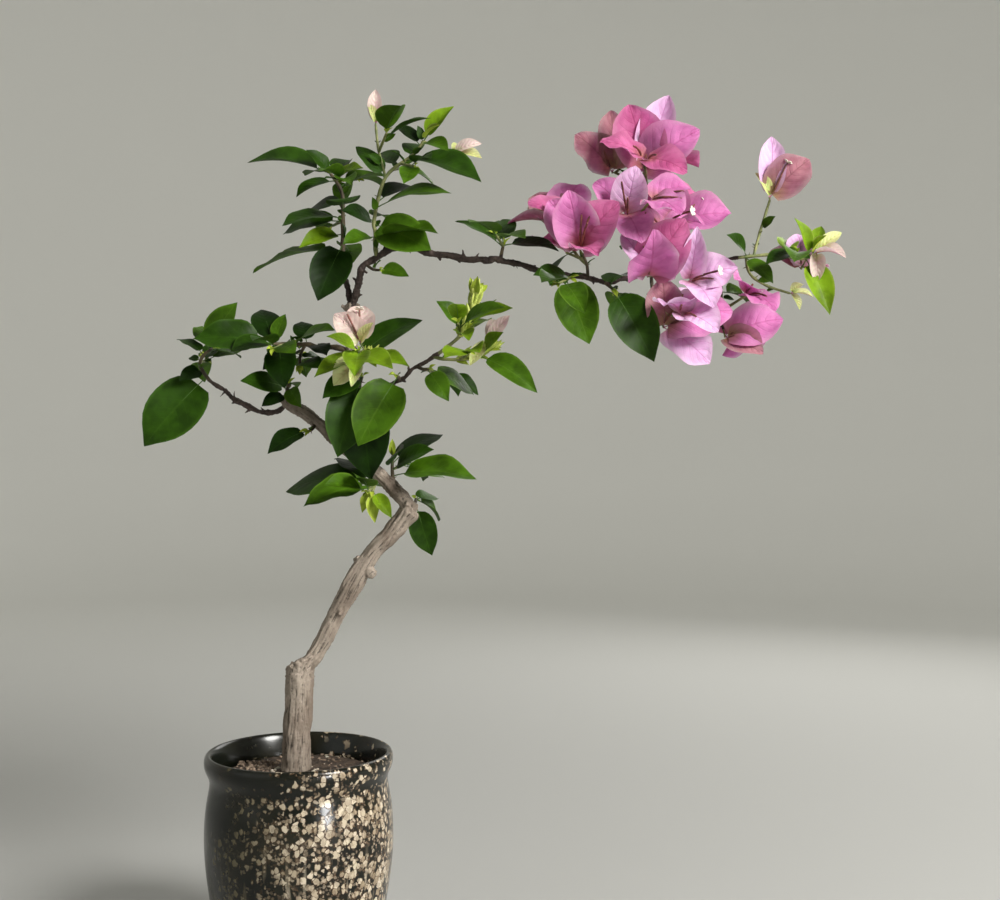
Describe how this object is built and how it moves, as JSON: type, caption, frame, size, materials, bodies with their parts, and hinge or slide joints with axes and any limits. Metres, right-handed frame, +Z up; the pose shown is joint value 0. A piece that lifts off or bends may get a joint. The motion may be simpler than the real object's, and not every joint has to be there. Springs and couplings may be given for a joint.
{
  "type": "potted bougainvillea bush",
  "caption": "Small trained bougainvillea with a sawn trunk, zigzag stem, arching bough of pink bracts and a round glazed pot.",
  "frame": {"origin": "centre of the pot's flat underside", "axes": "+Z up, +X towards the long flowering bough, -Y towards the front of the plant"},
  "size_m": [0.45, 0.1445, 0.573],
  "materials": {
    "pot_glaze": "gloss",
    "soil": "matte",
    "old_bark": "matte",
    "young_bark": "matte",
    "foliage": "satin",
    "blossom": "matte"
  },
  "bodies": {
    "root": {"pot": "pot_glaze", "soil": "soil", "trunk_stub": "old_bark", "lower_stem": "old_bark", "upper_stem": "old_bark", "centre_bough": "old_bark", "top_bough": "young_bark", "arch_rise": "young_bark", "arch_reach": "young_bark", "arch_tip": "young_bark", "right_bough": "young_bark", "left_twig": "young_bark", "low_left": "foliage", "low_right": "foliage", "knuckle_tuft": "foliage", "low_leaf": "foliage", "curtain": "foliage", "curtain_front": "foliage", "centre_spray": "foliage", "left_crown": "foliage", "knuckle_left": "foliage", "left_end": "foliage", "right_tuft": "foliage", "right_blossom": "blossom", "right_leaves": "foliage", "crown_left": "foliage", "crown_right": "foliage", "arch_foot_leaf": "foliage", "arch_leaves": "foliage", "arch_hanging": "foliage", "arch_hanging_end": "foliage", "blossom_left": "blossom", "blossom_crest": "blossom", "blossom_top": "blossom", "blossom_middle": "blossom", "blossom_heart": "blossom", "blossom_low": "blossom", "blossom_side": "blossom", "tip_spray": "blossom"}
  },
  "joints": []
}
